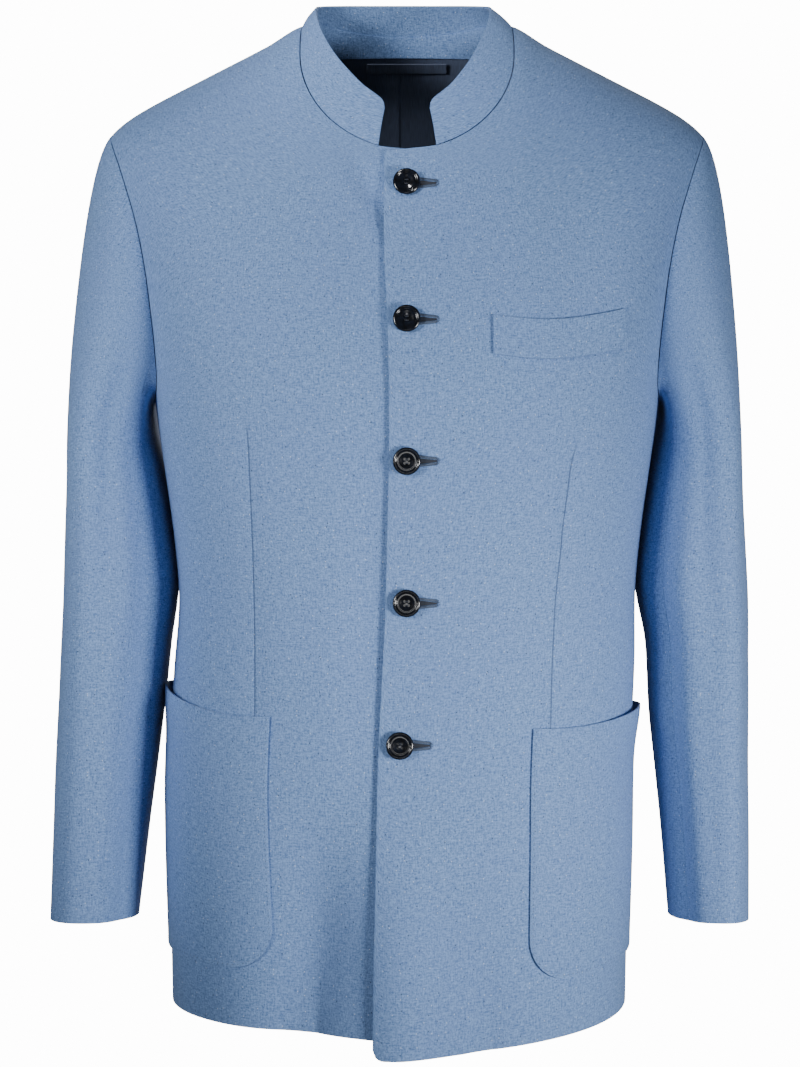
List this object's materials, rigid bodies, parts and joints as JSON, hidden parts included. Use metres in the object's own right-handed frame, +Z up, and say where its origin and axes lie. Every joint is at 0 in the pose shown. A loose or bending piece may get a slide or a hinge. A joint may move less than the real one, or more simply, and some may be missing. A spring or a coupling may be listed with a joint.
{
  "type": "stand-collar blazer",
  "caption": "Men's stand-collar blazer, buttoned and filled out as worn, with a breast pocket and patch pockets, hollow and open at the neck, hem and cuffs",
  "frame": {"origin": "Midway between the two shoulder neck points, on the jacket's middle plane, where a wearer's shoulders carry it. Z is 0 at the height of those points.", "axes": "+Z is up. The front faces -Y. +X is the wearer's left, which is the viewer's right from the front."},
  "size_m": [0.5308, 0.2918, 0.798],
  "materials": {
    "shell_cloth": "blue flecked plain weave, matt",
    "lining_cloth": "dark navy satin lining",
    "button_resin": "polished near-black resin"
  },
  "bodies": {
    "root": {"left_front": "shell_cloth", "right_front": "shell_cloth", "left_back": "shell_cloth", "right_back": "shell_cloth", "left_upper_sleeve": "shell_cloth", "right_upper_sleeve": "shell_cloth", "left_under_sleeve": "shell_cloth", "right_under_sleeve": "shell_cloth", "left_pocket": "shell_cloth", "right_pocket": "shell_cloth", "breast_welt": "shell_cloth", "collar": "shell_cloth", "back_lining": "lining_cloth", "hanger_loop": "lining_cloth", "button_1": "button_resin", "button_2": "button_resin", "button_3": "button_resin", "button_4": "button_resin", "button_5": "button_resin"}
  },
  "joints": []
}
